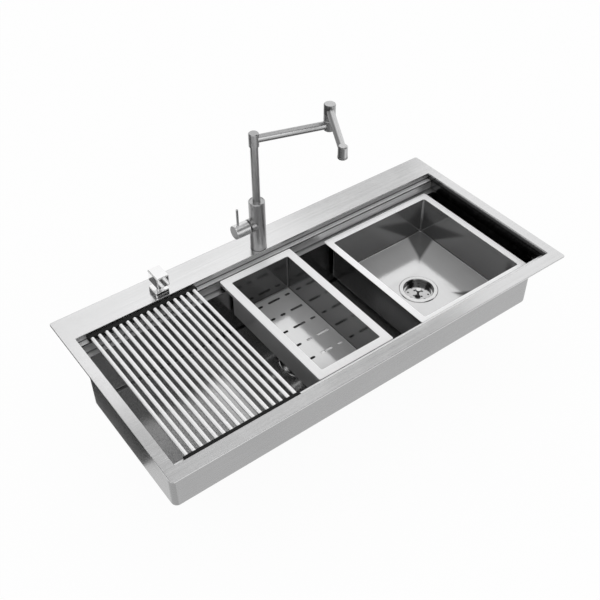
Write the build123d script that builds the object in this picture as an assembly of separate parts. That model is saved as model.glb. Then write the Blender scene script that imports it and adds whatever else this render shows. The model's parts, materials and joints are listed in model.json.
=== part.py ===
from build123d import *
import os

# Workstation sink with a drying rack, a colander, a lift-out bowl, a folding tap and a soap pump.
# Millimetres. +X runs along the sink to the right, +Y to the tap deck, +Z up.
# The origin is the middle of the plane where the rim's seal lies on the worktop.

# Rim and basin
rim_length = 1050.0
rim_width = 510.0
rim_thickness = 3.0
rim_corner_radius = 6.0
rim_edge_round = 0.8
side_rim = 25.0
front_rim = 31.5
tap_deck_width = 75.0
opening_corner_radius = 2.0
seal_thickness = 2.0
seal_width = 10.0
seal_inset = 4.0
sheet = 1.5
front_upper_ledge = 16.0
front_lower_ledge = 16.0
rear_upper_ledge = 14.0
rear_lower_ledge = 14.0
upper_ledge_drop = 15.0
lower_ledge_drop = 40.0
ledge_bend_radius = 1.2
basin_depth = 176.0
basin_corner_radius = 12.0
basin_floor_bend = 7.0
basin_floor_fall = 3.0
floor_crease_inset = 14.0
sound_pad_thickness = 2.0
sound_pad_margin = 60.0
sound_pad_gap = 75.0

# Clips under the rim
clip_spacing = 400.0
clip_channel_length = 60.0
clip_channel_width = 12.0
clip_channel_height = 8.0
clip_channel_sheet = 1.2
clip_channel_mouth = 5.6
clip_wall_gap = 2.0
clip_head_width = 8.8
clip_head_thickness = 2.0
clip_neck_width = 5.0
clip_block_height = 8.0
clip_foot_length = 34.0
clip_foot_thickness = 2.0
clip_corner_radius = 1.5
clip_screw_diameter = 4.0
clip_screw_head_diameter = 7.0
clip_screw_head_height = 2.5

# Fits
slide_clearance = 0.3
side_clearance = 0.5
running_clearance = 0.05
turn_gap = 0.1

# Main drain in the basin floor
main_drain_y = -20.0
main_flange_diameter = 114.0
main_cup_diameter = 86.0
main_cup_depth = 44.0
main_outlet_diameter = 44.0
main_outlet_length = 20.0
main_nut_width = 104.0
main_nut_height = 12.0
tail_diameter = 38.0
tail_wall = 1.5
tail_neck_diameter = 37.0
tail_neck_length = 10.0
tail_length = 60.0
tail_flange_thickness = 2.0
slip_nut_diameter = 54.0
slip_nut_height = 16.0

# Drain parts that both drains share
drain_wall = 1.6
drain_flange_height = 1.8
drain_seat_width = 3.0
drain_seat_depth = 8.0
drain_gasket_thickness = 2.0
basket_wall = 1.0
basket_floor_gap = 3.0
basket_hole_diameter = 5.0
basket_holes = 8
basket_inner_circle = 0.42
basket_outer_circle = 0.78
knob_post_diameter = 6.0
knob_diameter = 15.0
knob_height = 6.0
knob_sink = 6.0

# Lift-out bowl on the lower ledges
bowl_right_gap = 29.0
bowl_length = 330.5
bowl_front_overlap = 8.5
bowl_rear_overlap = 6.0
bowl_rim_width = 17.0
bowl_rim_thickness = 1.5
bowl_wall = 1.2
bowl_depth = 105.0
bowl_corner_radius = 5.0
bowl_floor_bend = 4.0
bowl_floor_fall = 3.0
bowl_drain_shift_x = -10.0
bowl_drain_shift_y = -4.0
bowl_flange_diameter = 96.0
bowl_cup_diameter = 76.0
bowl_cup_depth = 19.0
bowl_outlet_diameter = 40.0
bowl_outlet_length = 2.0
bowl_nut_width = 90.0
bowl_nut_height = 6.0

# Colander between the risers, standing on the lower ledges
colander_gap_share = 0.3691
colander_length = 197.0
colander_rim_width = 20.0
colander_rim_thickness = 1.5
colander_top_recess = 0.5
colander_lip_drop = 9.0
colander_wall = 1.0
colander_depth = 98.0
colander_corner_radius = 4.0
colander_floor_bend = 3.0
slot_width = 6.5
slot_long = 34.0
slot_short = 14.0
slot_gap = 15.0
slot_row_pitch = 50.5
slot_row_inset = 19.5
slot_side_margin = 6.0

# Drying rack on the upper ledges
bar_count = 16
bar_pitch = 16.65
bar_diameter = 8.6
bar_wall = 0.8
rack_left_gap = 24.0
rail_width = 10.5
rail_height = 10.4
rail_end_margin = 8.0
rail_wall_gap = 1.5
bar_socket_depth = 6.0

# Tap on the deck
tap_x = -20.5
tap_deck_offset = 20.0
tap_gasket_thickness = 1.0
tap_base_diameter = 38.6
tap_base_height = 3.0
tap_body_diameter = 38.0
tap_body_height = 127.0
tap_body_chamfer = 1.5
tap_shank_diameter = 28.0
tap_shank_drop = 52.0
tap_hole_clearance = 0.3
tap_inlet_diameter = 8.5
tap_inlet_spacing = 13.0
tap_inlet_depth = 14.0
tap_washer_diameter = 36.0
tap_washer_thickness = 3.0
tap_nut_width = 35.0
tap_nut_height = 9.0
boss_height = 66.0
boss_diameter = 33.0
boss_reach = 24.0
cartridge_diameter = 22.0
cartridge_length = 15.0
neck_diameter = 19.0
neck_bore = 11.0
neck_reach = 31.0
neck_flange_thickness = 2.0
spindle_diameter = 8.0
tongue_thickness = 3.0
handle_gap = 4.6
handle_length = 35.5
handle_wall = 2.0
handle_pivot_reach = 34.0
handle_cavity_reach = 42.0
handle_stem_length = 12.0
handle_pin_diameter = 2.5
fork_relief = 1.0
lever_diameter = 5.5
lever_length = 44.0
lever_reach = 53.0
lever_socket_depth = 8.0
post_diameter = 18.0
post_wall = 1.5
post_insertion = 34.0
gland_diameter = 33.0
gland_height = 6.0
gland_recess = 1.0
bush_wall = 4.0
o_ring_thickness = 2.0
o_ring_depth = 0.7
o_ring_places = (0.25, 0.5)
collar_above_arm = 15.5
collar_below_arm = 16.0
collar_diameter = 23.0
collar_chamfer = 1.5
collar_socket_depth = 5.0
arm_one_height = 291.5
arm_one_length = 171.5
arm_one_azimuth = -17.0
arm_one_diameter = 18.0
arm_wall = 1.4
arm_engagement = 5.0
knuckle_diameter = 26.0
knuckle_below_arm_one = 12.5
knuckle_above_arm_one = 12.0
knuckle_above_arm_two = 10.0
knuckle_cap_height = 4.0
knuckle_washer_thickness = 0.8
knuckle_spindle_diameter = 12.0
knuckle_spindle_bore = 7.0
knuckle_spindle_sink = 18.0
knuckle_spindle_head = 3.0
knuckle_head_flange = 1.5
arm_two_rise = 37.0
arm_two_length = 158.8
arm_two_azimuth = -118.7
arm_two_diameter = 17.0
nozzle_diameter = 20.5
nozzle_above_arm = 10.5
nozzle_below_arm = 12.5
nozzle_bore = 14.0
nozzle_chamfer = 2.0
aerator_height = 6.0
aerator_wall = 2.0
screen_thickness = 1.5
screen_hole_diameter = 2.4
screen_holes = 8

# Soap pump on the deck
soap_left_gap = 215.0
soap_deck_offset = 23.0
soap_gasket_thickness = 1.0
soap_collar_width = 34.0
soap_collar_height = 12.0
soap_collar_round = 3.0
soap_shank_diameter = 26.0
soap_shank_drop = 34.0
soap_barrel_wall = 2.0
soap_stem_diameter = 11.0
soap_stem_insertion = 24.0
soap_travel = 12.0
soap_head_gap = 5.0
soap_head_width = 30.0
soap_head_rear = 15.0
soap_head_front = 27.0
soap_head_height = 30.0
soap_head_round = 2.5
soap_spout_diameter = 8.0
soap_spout_drop = 3.0
soap_washer_thickness = 2.0
soap_nut_width = 32.0
soap_nut_height = 7.0
soap_bottle_diameter = 60.0
soap_bottle_height = 120.0
soap_bottle_wall = 1.5
soap_bottle_shoulder = 14.0
soap_neck_diameter = 31.0
soap_neck_height = 14.0

# Levels and lines that follow from the sizes above
rim_under = seal_thickness
rim_top = rim_under + rim_thickness
half_opening = rim_length / 2 - side_rim
y_front = -rim_width / 2 + front_rim
y_rear = rim_width / 2 - tap_deck_width
y_front_step = y_front + front_upper_ledge
y_front_wall = y_front_step + front_lower_ledge
y_rear_step = y_rear - rear_upper_ledge
y_rear_wall = y_rear_step - rear_lower_ledge
z_upper = rim_top - upper_ledge_drop
z_lower = rim_top - lower_ledge_drop
z_bottom = rim_top - basin_depth
z_floor = z_bottom + sheet
tap_y = y_rear + tap_deck_offset
soap_x = -half_opening + soap_left_gap
soap_y = y_rear + soap_deck_offset
rack_left = -half_opening + rack_left_gap
first_bar_x = rack_left + rail_end_margin
rack_right = first_bar_x + (bar_count - 1) * bar_pitch + rail_end_margin
bowl_x_right = half_opening - bowl_right_gap
bowl_x_left = bowl_x_right - bowl_length
colander_x_left = rack_right + colander_gap_share * (bowl_x_left - rack_right - colander_length)
colander_x_right = colander_x_left + colander_length
main_drain_x = (colander_x_left + colander_x_right) / 2
bottom_aligned = (Align.CENTER, Align.CENTER, Align.MIN)


def block(x0, x1, y0, y1, z0, z1):
    """A box between two corners."""
    return Pos((x0 + x1) / 2, (y0 + y1) / 2, (z0 + z1) / 2) * Box(x1 - x0, y1 - y0, z1 - z0)


def rounded_block(x0, x1, y0, y1, z0, z1, radius):
    """A box between two corners with its upright edges rounded."""
    outline = RectangleRounded(x1 - x0, y1 - y0, radius)
    return Pos((x0 + x1) / 2, (y0 + y1) / 2, z0) * extrude(outline, z1 - z0)


def rod(diameter, z0, z1):
    """An upright cylinder between two heights."""
    return Pos(0, 0, z0) * Cylinder(diameter / 2, z1 - z0, align=bottom_aligned)


def ring(outer, inner, z0, z1):
    """An upright tube between two heights."""
    return rod(outer, z0, z1) - rod(inner, z0, z1)


def turned(*points):
    """A solid turned about Z from (radius, height) points."""
    return revolve(Plane.XZ * make_face(Polyline(*points, close=True)), Axis.Z)


def hexagon(width, z0, z1):
    """A hexagon prism with two flats facing along Y."""
    return Pos(0, 0, z0) * extrude(RegularPolygon(width / 2, 6, major_radius=False), z1 - z0)


def lying(x, y, z, azimuth):
    """A place whose local Z points level along an azimuth."""
    return Pos(x, y, z) * Rot(0, 0, azimuth) * Rot(0, 90, 0)


def top_rounded(solid, radius):
    """The same solid with the edges of its top face rounded."""
    return fillet(solid.faces().sort_by(Axis.Z)[-1].edges(), radius)


def creased_floor(x0, x1, y0, y1, z, drain_x, drain_y, flat, fall):
    """The shallow pyramid under a floor whose four creases lead to a square flat round the drain."""
    upper = Pos((x0 + x1) / 2, (y0 + y1) / 2, z) * Rectangle(x1 - x0, y1 - y0)
    lower = Pos(drain_x, drain_y, z - fall) * Rectangle(flat, flat)
    return loft([upper, lower], ruled=True)


def open_tub(x0, x1, y0, y1, z_base, z_rim, wall, corner, bend):
    """The outer block and the hollow of a sheet tub; the limits are those of its inside."""
    outer = rounded_block(x0 - wall, x1 + wall, y0 - wall, y1 + wall, z_base, z_rim, corner + wall)
    outer = fillet(outer.faces().sort_by(Axis.Z)[0].edges(), bend + wall)
    hollow = rounded_block(x0, x1, y0, y1, z_base + wall, z_rim, corner)
    hollow = fillet(hollow.faces().sort_by(Axis.Z)[0].edges(), bend)
    return outer, hollow


# Rim, seal, ledges, basin and what is fixed under them

def make_rim_deck():
    plate = rounded_block(-rim_length / 2, rim_length / 2, -rim_width / 2, rim_width / 2,
                          rim_under, rim_top, rim_corner_radius)
    plate -= rounded_block(-half_opening, half_opening, y_front, y_rear, rim_under, rim_top,
                           opening_corner_radius)
    plate = top_rounded(plate, rim_edge_round)
    plate -= Pos(tap_x, tap_y, 0) * rod(tap_shank_diameter + 2 * tap_hole_clearance, rim_under, rim_top)
    plate -= Pos(soap_x, soap_y, 0) * rod(soap_shank_diameter + 2 * tap_hole_clearance, rim_under, rim_top)
    return plate


def make_rim_seal():
    half_x = rim_length / 2 - seal_inset
    half_y = rim_width / 2 - seal_inset
    outer = rounded_block(-half_x, half_x, -half_y, half_y, 0, seal_thickness, rim_corner_radius)
    return outer - block(-half_x + seal_width, half_x - seal_width,
                         -half_y + seal_width, half_y - seal_width, 0, seal_thickness)


def make_ledge_strip(y_open, y_step, outward):
    """A folded strip in three welded lengths: the drop from the rim, the upper ledge and the riser below it."""
    shift = outward * sheet
    corner = (y_open, z_upper)
    nose = (y_step, z_upper)
    corner_back = (y_open + shift, z_upper - sheet)
    nose_back = (y_step + shift, z_upper - sheet)
    profile = make_face(Polyline((y_open, rim_under), corner, nose, (y_step, z_lower),
                                 (y_step + shift, z_lower), nose_back, corner_back,
                                 (y_open + shift, rim_under), close=True))
    for point, radius in ((corner, ledge_bend_radius), (nose, ledge_bend_radius + sheet),
                          (nose_back, ledge_bend_radius), (corner_back, ledge_bend_radius + sheet)):
        profile = fillet(profile.vertices().sort_by_distance((point[0], point[1], 0))[0], radius)
    strip = extrude(Plane.YZ.offset(-half_opening) * profile, 2 * half_opening)
    drop_line = y_open - outward * (ledge_bend_radius + sheet)
    riser_line = y_step + outward * (ledge_bend_radius + sheet)
    limits = sorted((y_open + shift, drop_line, riser_line, y_step - shift))
    return Compound(children=[strip & block(-half_opening, half_opening, y0, y1, z_lower, rim_under)
                              for y0, y1 in zip(limits, limits[1:])])


def make_end_panels():
    """Two upright panels that close the stepped ends of the ledge strips."""
    outline = make_face(Polyline((y_front - sheet, rim_under), (y_front - sheet, z_upper - sheet),
                                 (y_front_step - sheet, z_upper - sheet), (y_front_step - sheet, z_lower),
                                 (y_rear_step + sheet, z_lower), (y_rear_step + sheet, z_upper - sheet),
                                 (y_rear + sheet, z_upper - sheet), (y_rear + sheet, rim_under), close=True))
    return Compound(children=[extrude(Plane.YZ.offset(x0) * outline, sheet)
                              for x0 in (-half_opening - sheet, half_opening)])


def basin_crease(z):
    return creased_floor(-half_opening + floor_crease_inset, half_opening - floor_crease_inset,
                         y_front_wall + floor_crease_inset, y_rear_wall - floor_crease_inset, z,
                         main_drain_x, main_drain_y, main_flange_diameter + 4 * drain_wall, basin_floor_fall)


def make_basin_tub():
    """The welded tub: creased floor, walls with rounded corners, and the lower ledges as its flange."""
    outer, hollow = open_tub(-half_opening, half_opening, y_front_wall, y_rear_wall,
                             z_bottom, z_lower, sheet, basin_corner_radius, basin_floor_bend)
    flange = block(-half_opening - sheet, half_opening + sheet, y_front_step - sheet, y_rear_step + sheet,
                   z_lower - sheet, z_lower)
    tub = outer + flange + basin_crease(z_bottom)
    tub -= hollow + basin_crease(z_floor)
    hole = rod(main_cup_diameter + 2 * slide_clearance, z_bottom - 2 * basin_floor_fall, z_floor)
    return tub - Pos(main_drain_x, main_drain_y, 0) * hole


def make_sound_pads():
    """Rubber sheets on the underside of the floor, left and right of the drain."""
    low = z_bottom - sound_pad_thickness
    slab = block(-half_opening + floor_crease_inset, half_opening - floor_crease_inset,
                 y_front_wall + floor_crease_inset, y_rear_wall - floor_crease_inset, low, z_bottom)
    layer = slab + basin_crease(low) - basin_crease(z_bottom)
    pads = []
    for x0, x1 in ((-half_opening + sound_pad_margin, main_drain_x - sound_pad_gap),
                   (main_drain_x + sound_pad_gap, half_opening - sound_pad_margin)):
        pads.append(layer & block(x0, x1, y_front_wall + sound_pad_margin, y_rear_wall - sound_pad_margin,
                                  low - basin_floor_fall, z_bottom))
    return Compound(children=pads)


def clip_places():
    """Clip places along the front and rear edges, as (x, y)."""
    reach = sheet + clip_wall_gap + clip_channel_width / 2
    return [(step * clip_spacing, y) for y in (y_front - reach, rim_width / 2 - seal_inset - seal_width - reach)
            for step in (-1, 0, 1)]


def make_clip_channels():
    """C-section rails welded under the rim, open downwards."""
    half = clip_channel_width / 2
    low = rim_under - clip_channel_height
    section = Pos(0, (low + rim_under) / 2) * Rectangle(clip_channel_width, clip_channel_height)
    section -= Pos(0, (low + rim_under) / 2) * Rectangle(2 * (half - clip_channel_sheet),
                                                         clip_channel_height - 2 * clip_channel_sheet)
    section -= Pos(0, low + clip_channel_sheet / 2) * Rectangle(clip_channel_mouth, clip_channel_sheet)
    rail = extrude(Plane.YZ.offset(-clip_channel_length / 2) * section, clip_channel_length)
    return Compound(children=[Pos(x, y, 0) * rail for x, y in clip_places()])


def clip_levels():
    """Heights of a clip: underside of its head, of its block and of its foot."""
    head_low = rim_under - clip_channel_height + clip_channel_sheet
    block_top = rim_under - clip_channel_height
    return head_low, block_top, block_top - clip_block_height


def make_rim_clips():
    """Turned-in clips: a head in the channel, a neck through its mouth and a threaded block."""
    head_low, block_top, block_low = clip_levels()
    half_head = clip_head_width / 2
    clip = block(-half_head, half_head, -half_head, half_head, head_low, head_low + clip_head_thickness)
    half_neck = clip_neck_width / 2
    clip += block(-half_neck, half_neck, -half_neck, half_neck, block_top, head_low)
    clip += rounded_block(-half_head, half_head, -half_head, half_head, block_low, block_top, clip_corner_radius)
    clip -= rod(clip_screw_diameter + 2 * running_clearance, block_low, head_low)
    return Compound(children=[Pos(x, y, 0) * clip for x, y in clip_places()])


def make_clip_clamps():
    """Clamp bars with their screws, turned along the rim until the sink is fitted."""
    head_low, _, block_low = clip_levels()
    seat = block_low - clip_foot_thickness
    half_head = clip_head_width / 2
    foot = rounded_block(-half_head, clip_foot_length - half_head, -half_head, half_head,
                         seat, block_low, clip_corner_radius)
    foot -= rod(clip_screw_diameter + 2 * running_clearance, seat, block_low)
    screw = rod(clip_screw_diameter, seat, head_low)
    screw += rod(clip_screw_head_diameter, seat - clip_screw_head_height, seat)
    return Compound(children=[Pos(x, y, 0) * piece for x, y in clip_places() for piece in (foot, screw)])


# Drains

def make_drain_cup(flange, cup, depth, outlet, tail):
    """Flanged strainer cup with an inner seat for the basket; height 0 is the top of the floor."""
    r_flange, r_cup, r_out = flange / 2, cup / 2, outlet / 2
    r_in = r_cup - drain_wall
    r_seat = r_in - drain_seat_width
    base = -depth + drain_wall
    return turned((r_flange, 0), (r_flange, drain_flange_height / 2), (r_flange - drain_wall, drain_flange_height),
                  (r_in + drain_wall, drain_flange_height), (r_in, 0), (r_in, -drain_seat_depth),
                  (r_seat, -drain_seat_depth), (r_seat, base), (r_out - drain_wall, base),
                  (r_out - drain_wall, -depth - tail), (r_out, -depth - tail), (r_out, -depth),
                  (r_cup, -depth), (r_cup, 0))


def make_drain_basket(cup, depth):
    """Perforated basket that hangs by its lip on the cup's seat, with a post for the knob."""
    r_in = cup / 2 - drain_wall
    r_lip = r_in - side_clearance
    r_wall = r_in - drain_seat_width - side_clearance
    lip = -drain_seat_depth + slide_clearance
    base = -depth + drain_wall + basket_floor_gap
    r_post = knob_post_diameter / 2
    basket = turned((0, base), (r_wall, base), (r_wall, lip), (r_lip, lip), (r_lip, lip + basket_wall),
                    (r_wall - basket_wall, lip + basket_wall), (r_wall - basket_wall, base + basket_wall),
                    (r_post, base + basket_wall), (r_post, -knob_sink), (0, -knob_sink))
    hole = rod(basket_hole_diameter, base, base + basket_wall)
    for share, count in ((basket_inner_circle, basket_holes // 2), (basket_outer_circle, basket_holes)):
        for place in PolarLocations(share * (r_wall - basket_wall), count):
            basket -= place * hole
    return basket


def make_drain_knob():
    """Round grip pushed on the basket's post."""
    r_post, r_knob = knob_post_diameter / 2, knob_diameter / 2
    return turned((0, 0), (r_post + drain_wall, 0), (r_knob, knob_height / 2), (r_knob - drain_wall, knob_height),
                  (0, knob_height))


def drain_parts(prefix, x, y, floor_top, floor_wall, flange, cup, depth, outlet, tail, nut_width, nut_height):
    """The pieces of one drain, set in a floor at (x, y)."""
    place = Pos(x, y, floor_top)
    under = -floor_wall
    gasket_low = under - drain_gasket_thickness
    bore = cup + 2 * running_clearance
    return {
        prefix + "_drain_cup": place * make_drain_cup(flange, cup, depth, outlet, tail),
        prefix + "_drain_gasket": place * ring(nut_width, bore, gasket_low, under),
        prefix + "_drain_nut": place * (hexagon(nut_width, gasket_low - nut_height, gasket_low)
                                        - rod(bore, gasket_low - nut_height, gasket_low)),
        prefix + "_strainer_basket": place * make_drain_basket(cup, depth),
        prefix + "_strainer_knob": place * Pos(0, 0, -knob_sink) * make_drain_knob(),
    }


def make_tailpiece(z_joint):
    """Outlet tube with a flange that the slip nut pulls up against the cup's outlet."""
    r_out, r_in, r_neck = tail_diameter / 2, tail_diameter / 2 - tail_wall, tail_neck_diameter / 2
    neck_low = -tail_flange_thickness - tail_neck_length
    tube = turned((r_in, 0), (main_outlet_diameter / 2, 0), (main_outlet_diameter / 2, -tail_flange_thickness),
                  (r_neck, -tail_flange_thickness), (r_neck, neck_low), (r_out, neck_low),
                  (r_out, -tail_length), (r_in, -tail_length))
    return Pos(main_drain_x, main_drain_y, z_joint) * tube


def make_slip_nut(z_joint):
    r_nut = slip_nut_diameter / 2
    r_thread = main_outlet_diameter / 2 + running_clearance
    r_tail = tail_neck_diameter / 2 + running_clearance
    low = -tail_flange_thickness
    body = turned((r_thread, slip_nut_height - 2 * drain_wall), (r_nut, slip_nut_height - 2 * drain_wall),
                  (r_nut, low - drain_wall), (r_tail, low - drain_wall), (r_tail, low), (r_thread, low))
    return Pos(main_drain_x, main_drain_y, z_joint) * body


# Lift-out bowl

bowl_y_front = y_front_wall - bowl_front_overlap
bowl_y_rear = y_rear_wall + bowl_rear_overlap
bowl_rim_low = z_lower + slide_clearance
bowl_rim_top = bowl_rim_low + bowl_rim_thickness
bowl_base = bowl_rim_top - bowl_depth - bowl_wall
bowl_inside = (bowl_x_left + bowl_rim_width, bowl_x_right - bowl_rim_width,
               bowl_y_front + bowl_rim_width, bowl_y_rear - bowl_rim_width)
bowl_drain_x = (bowl_inside[0] + bowl_inside[1]) / 2 + bowl_drain_shift_x
bowl_drain_y = (bowl_inside[2] + bowl_inside[3]) / 2 + bowl_drain_shift_y


def bowl_crease(z):
    x0, x1, y0, y1 = bowl_inside
    inset = bowl_corner_radius + bowl_floor_bend
    return creased_floor(x0 + inset, x1 - inset, y0 + inset, y1 - inset, z, bowl_drain_x, bowl_drain_y,
                         bowl_flange_diameter + 4 * drain_wall, bowl_floor_fall)


def make_bowl_shell():
    x0, x1, y0, y1 = bowl_inside
    outer, hollow = open_tub(x0, x1, y0, y1, bowl_base, bowl_rim_top, bowl_wall, bowl_corner_radius,
                             bowl_floor_bend)
    rim = rounded_block(bowl_x_left, bowl_x_right, bowl_y_front, bowl_y_rear, bowl_rim_low, bowl_rim_top,
                        bowl_corner_radius)
    shell = outer + rim + bowl_crease(bowl_base)
    shell -= hollow + bowl_crease(bowl_base + bowl_wall)
    hole = rod(bowl_cup_diameter + 2 * slide_clearance, bowl_base - 2 * bowl_floor_fall, bowl_base + bowl_wall)
    return shell - Pos(bowl_drain_x, bowl_drain_y, 0) * hole


# Colander

colander_y_front = y_front_step + side_clearance
colander_y_rear = y_rear_step - side_clearance
colander_top = z_upper - colander_top_recess
colander_plate_low = colander_top - colander_rim_thickness
colander_inside = (colander_x_left + colander_rim_width, colander_x_right - colander_rim_width,
                   colander_y_front + colander_rim_width, colander_y_rear - colander_rim_width)


def make_colander_rim():
    """Flat frame with deep skirts that stand on the lower ledges and short lips at its sides."""
    skirt_low = z_lower + slide_clearance
    frame = rounded_block(colander_x_left, colander_x_right, colander_y_front, colander_y_rear,
                          skirt_low, colander_top, colander_corner_radius)
    frame = top_rounded(frame, colander_rim_thickness / 2)
    t = colander_rim_thickness
    frame -= rounded_block(colander_x_left + t, colander_x_right - t, colander_y_front + t, colander_y_rear - t,
                           skirt_low, colander_plate_low, colander_corner_radius - t)
    frame -= block(colander_x_left, colander_x_right, colander_y_front + colander_corner_radius,
                   colander_y_rear - colander_corner_radius, skirt_low, colander_top - colander_lip_drop)
    x0, x1, y0, y1 = colander_inside
    return frame - rounded_block(x0, x1, y0, y1, colander_plate_low, colander_top, colander_corner_radius)


def slot_rows():
    """Slot places as (x, y, length): long and short slots in turn, shifted in every other row."""
    x0, x1, y0, y1 = colander_inside
    step = (slot_long + slot_short) / 2 + slot_gap
    lengths = (slot_long, slot_short)
    places = []
    row = 0
    y = y1 - slot_row_inset
    while y > y0 + slot_width + colander_floor_bend:
        x = x0 + slot_side_margin + lengths[row % 2] / 2
        turn = row % 2
        while x + lengths[turn % 2] / 2 < x1 - slot_side_margin:
            places.append((x, y, lengths[turn % 2]))
            x += step
            turn += 1
        y -= slot_row_pitch
        row += 1
    return places


def make_colander_tray():
    x0, x1, y0, y1 = colander_inside
    base = colander_top - colander_depth - colander_wall
    outer, hollow = open_tub(x0, x1, y0, y1, base, colander_plate_low, colander_wall, colander_corner_radius,
                             colander_floor_bend)
    tray = outer - hollow
    for x, y, length in slot_rows():
        tray -= Pos(x, y, base) * extrude(SlotOverall(length, slot_width), colander_wall)
    return tray


# Drying rack

rail_low = z_upper + slide_clearance
bar_z = rail_low + rail_height / 2
front_rail_inner = y_front + rail_wall_gap + rail_width
rear_rail_inner = y_rear - rail_wall_gap - rail_width


def bar_lines():
    return [first_bar_x + i * bar_pitch for i in range(bar_count)]


def make_rack_bars():
    y0 = front_rail_inner - bar_socket_depth
    length = rear_rail_inner + bar_socket_depth - y0
    tube = Cylinder(bar_diameter / 2, length, align=bottom_aligned)
    tube -= Cylinder(bar_diameter / 2 - bar_wall, length, align=bottom_aligned)
    return Compound(children=[Pos(x, y0, bar_z) * Rot(-90, 0, 0) * tube for x in bar_lines()])


def make_rack_rail(y_inner, outward):
    """One moulded end rail with a rounded top and a blind socket for each bar."""
    y_back = y_inner + outward * rail_width
    rail = block(rack_left, rack_right, min(y_inner, y_back), max(y_inner, y_back), rail_low, rail_low + rail_height)
    top = rail.faces().sort_by(Axis.Z)[-1]
    rail = fillet(top.edges(), rail_height / 5)
    socket = Cylinder(bar_diameter / 2 + running_clearance, bar_socket_depth, align=bottom_aligned)
    for x in bar_lines():
        rail -= Pos(x, y_inner, bar_z) * Rot(-90 * outward, 0, 0) * socket
    return rail


# Tap

tap_deck_top = rim_top + tap_gasket_thickness
tap_body_low = tap_deck_top + tap_base_height
tap_body_top = tap_body_low + tap_body_height
handle_axis_z = tap_body_low + boss_height
post_low = tap_body_top - post_insertion
knuckle_x = tap_x + arm_one_length * Vector(1, 0, 0).rotate(Axis.Z, arm_one_azimuth).X
knuckle_y = tap_y + arm_one_length * Vector(1, 0, 0).rotate(Axis.Z, arm_one_azimuth).Y
nozzle_x = knuckle_x + arm_two_length * Vector(1, 0, 0).rotate(Axis.Z, arm_two_azimuth).X
nozzle_y = knuckle_y + arm_two_length * Vector(1, 0, 0).rotate(Axis.Z, arm_two_azimuth).Y
arm_one_z = rim_top + arm_one_height
arm_two_z = arm_one_z + arm_two_rise
collar_low = arm_one_z - collar_below_arm
collar_top = arm_one_z + collar_above_arm
nozzle_low = arm_two_z - nozzle_below_arm
nozzle_top = arm_two_z + nozzle_above_arm
at_tap = Pos(tap_x, tap_y, 0)
at_knuckle = Pos(knuckle_x, knuckle_y, 0)
at_nozzle = Pos(nozzle_x, nozzle_y, 0)
at_handle = lying(tap_x, tap_y, handle_axis_z, 180)


def make_tap_body():
    """Cast body: hollow for the post's bush above, a side boss with the cartridge's bore, a threaded base."""
    body = chamfer(rod(tap_body_diameter, tap_body_low, tap_body_top).edges().sort_by(Axis.Z)[-1], tap_body_chamfer)
    boss = Cylinder(boss_diameter / 2, boss_reach, align=bottom_aligned)
    body = at_tap * body + at_handle * boss
    bush_bore = post_diameter + 2 * bush_wall
    body -= at_tap * rod(bush_bore, post_low - bush_wall, tap_body_top)
    body -= at_tap * rod(gland_diameter, tap_body_top - gland_height - gland_recess, tap_body_top)
    body -= at_tap * rod(tap_shank_diameter, tap_body_low, tap_body_low + tap_inlet_depth)
    bore = Cylinder(cartridge_diameter / 2, cartridge_length, align=bottom_aligned)
    return body - at_handle * Pos(0, 0, boss_reach - cartridge_length) * bore


def make_tap_shank():
    """Threaded shank below the body with the two inlet ports in its lower end."""
    low = rim_under - tap_shank_drop
    shank = rod(tap_shank_diameter, low, tap_body_low + tap_inlet_depth)
    port = rod(tap_inlet_diameter, low, low + tap_inlet_depth)
    for side in (-1, 1):
        shank -= Pos(side * tap_inlet_spacing / 2, 0, 0) * port
    return at_tap * shank


def make_tap_nut():
    top = rim_under - tap_washer_thickness
    nut = hexagon(tap_nut_width, top - tap_nut_height, top)
    return at_tap * (nut - rod(tap_shank_diameter + 2 * running_clearance, top - tap_nut_height, top))


def make_cartridge():
    """Ceramic disc cartridge in the side boss; local Z points out of the boss."""
    depth = cartridge_length - neck_flange_thickness
    body = Cylinder(cartridge_diameter / 2 - running_clearance, depth, align=bottom_aligned)
    bore = Cylinder(spindle_diameter / 2 + running_clearance, depth / 2, align=bottom_aligned)
    return at_handle * Pos(0, 0, boss_reach - cartridge_length) * (body - Pos(0, 0, depth / 2) * bore)


def make_bonnet():
    """Neck that holds the cartridge down and lets the spindle through."""
    flange = Cylinder(cartridge_diameter / 2 - running_clearance, neck_flange_thickness, align=bottom_aligned)
    neck = Cylinder(neck_diameter / 2, neck_reach - boss_reach, align=bottom_aligned)
    bonnet = Pos(0, 0, boss_reach - neck_flange_thickness) * flange + Pos(0, 0, boss_reach) * neck
    through = Cylinder(neck_bore / 2, neck_reach, align=bottom_aligned)
    return at_handle * (bonnet - through)


def make_spindle():
    """Cartridge spindle with a flat tongue at the lever's pivot."""
    seat = boss_reach - cartridge_length + (cartridge_length - neck_flange_thickness) / 2
    shaft_end = handle_pivot_reach - spindle_diameter / 2 - slide_clearance
    shaft = Pos(0, 0, seat) * Cylinder(spindle_diameter / 2, shaft_end - seat, align=bottom_aligned)
    half = spindle_diameter / 2 - 2 * slide_clearance
    tongue = Pos(0, 0, shaft_end) * Box(2 * half, tongue_thickness, handle_pivot_reach - shaft_end,
                                        align=bottom_aligned)
    eye = Pos(0, 0, handle_pivot_reach) * Rot(90, 0, 0) * Cylinder(half, tongue_thickness)
    hole = Cylinder(handle_pin_diameter / 2 + running_clearance, 2 * tongue_thickness)
    return at_handle * (shaft + tongue + eye - Pos(0, 0, handle_pivot_reach) * Rot(90, 0, 0) * hole)


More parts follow.
